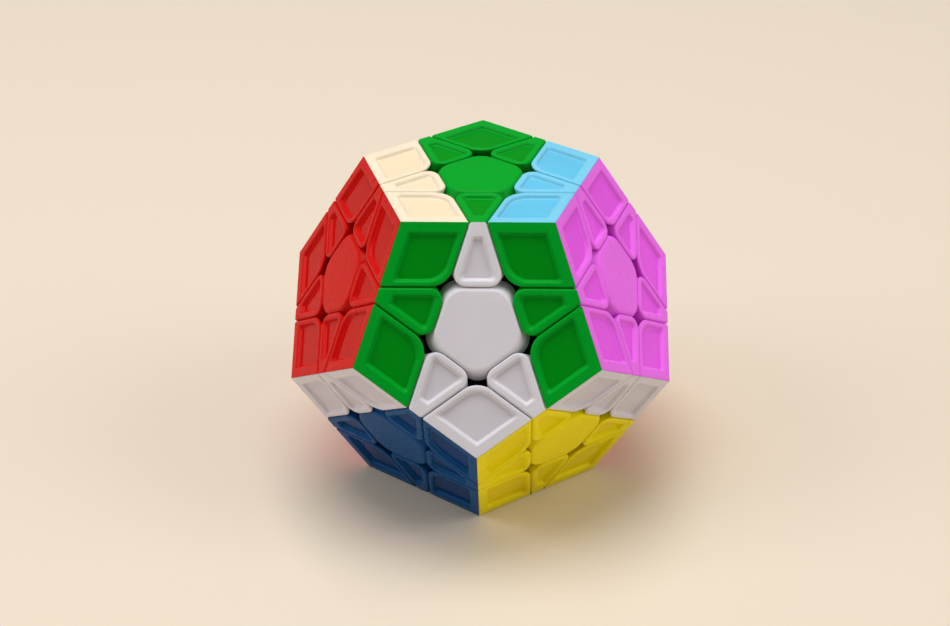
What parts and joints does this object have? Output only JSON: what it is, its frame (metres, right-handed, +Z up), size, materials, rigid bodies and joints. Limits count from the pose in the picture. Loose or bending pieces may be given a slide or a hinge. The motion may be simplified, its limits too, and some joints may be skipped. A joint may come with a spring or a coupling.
{
  "type": "twisty puzzle",
  "caption": "Twelve-sided twisty puzzle with sculpted tiles, sprung centres and hooked corner and edge pieces round a core with arms",
  "frame": {"origin": "centre of the core, where the axes of all twelve layers meet, which is the middle of the body", "axes": "+Z up out of the top face, -Y out of the front where the white face looks forward and up, +X to the right"},
  "size_m": [0.0812, 0.0854, 0.069],
  "materials": {
    "green": "gloss moulded plastic",
    "white": "gloss moulded plastic",
    "purple": "gloss moulded plastic",
    "sky": "gloss moulded plastic",
    "cream": "gloss moulded plastic",
    "red": "gloss moulded plastic",
    "yellow": "gloss moulded plastic",
    "orange": "gloss moulded plastic",
    "grey": "gloss moulded plastic",
    "pink": "gloss moulded plastic",
    "blue": "gloss moulded plastic",
    "lime": "gloss moulded plastic",
    "internals": "satin moulded nylon",
    "steel": "plated steel",
    "spring_steel": "drawn wire"
  },
  "bodies": {
    "core_and_fixed_pieces": {"corner_green_sky_cream": "green", "corner_white_blue_yellow": "white", "corner_sky_grey_cream": "sky", "corner_sky_orange_grey": "sky", "corner_cream_grey_pink": "cream", "edge_green_white": "green", "edge_green_sky": "green", "edge_green_cream": "green", "edge_white_yellow": "white", "edge_white_blue": "white", "edge_sky_cream": "sky", "edge_sky_orange": "sky", "edge_sky_grey": "sky", "edge_cream_grey": "cream", "edge_cream_pink": "cream", "edge_yellow_orange": "yellow", "edge_yellow_blue": "yellow", "edge_orange_grey": "orange", "edge_grey_pink": "grey", "edge_pink_blue": "pink", "centre_cap_white": "white", "centre_caps": "green", "centre_bases": "internals", "core": "internals", "screws": "steel", "springs": "spring_steel", "washers": "steel"},
    "red_layer": {"corner_cream_red_green": "cream", "corner_cream_pink_red": "cream", "corner_green_red_white": "green", "corner_pink_blue_red": "pink", "corner_red_blue_white": "red", "edge_cream_red": "cream", "edge_green_red": "green", "edge_pink_red": "pink", "edge_red_blue": "red", "edge_red_white": "red", "centre_red": "red"},
    "purple_layer": {"corner_sky_green_purple": "sky", "corner_sky_purple_orange": "sky", "corner_green_white_purple": "green", "corner_purple_yellow_orange": "purple", "corner_purple_white_yellow": "purple", "edge_sky_purple": "sky", "edge_green_purple": "green", "edge_purple_orange": "purple", "edge_purple_white": "purple", "edge_purple_yellow": "purple", "centre_purple": "purple"},
    "lime_layer": {"corner_yellow_lime_orange": "yellow", "corner_yellow_blue_lime": "yellow", "corner_orange_lime_grey": "orange", "corner_grey_lime_pink": "grey", "corner_pink_lime_blue": "pink", "edge_yellow_lime": "yellow", "edge_orange_lime": "orange", "edge_grey_lime": "grey", "edge_pink_lime": "pink", "edge_blue_lime": "blue", "centre_lime": "lime"}
  },
  "joints": [
    {"name": "red_layer_turn", "type": "hinge", "parent": "core_and_fixed_pieces", "child": "red_layer", "pos_m": [0, 0, 0], "axis": [-0.8507, -0.2764, 0.4472], "continuous": true},
    {"name": "purple_layer_turn", "type": "hinge", "parent": "core_and_fixed_pieces", "child": "purple_layer", "pos_m": [0, 0, 0], "axis": [0.8507, -0.2764, 0.4472], "continuous": true},
    {"name": "lime_layer_turn", "type": "hinge", "parent": "core_and_fixed_pieces", "child": "lime_layer", "pos_m": [0, 0, 0], "axis": [0, 0, -1], "continuous": true}
  ]
}
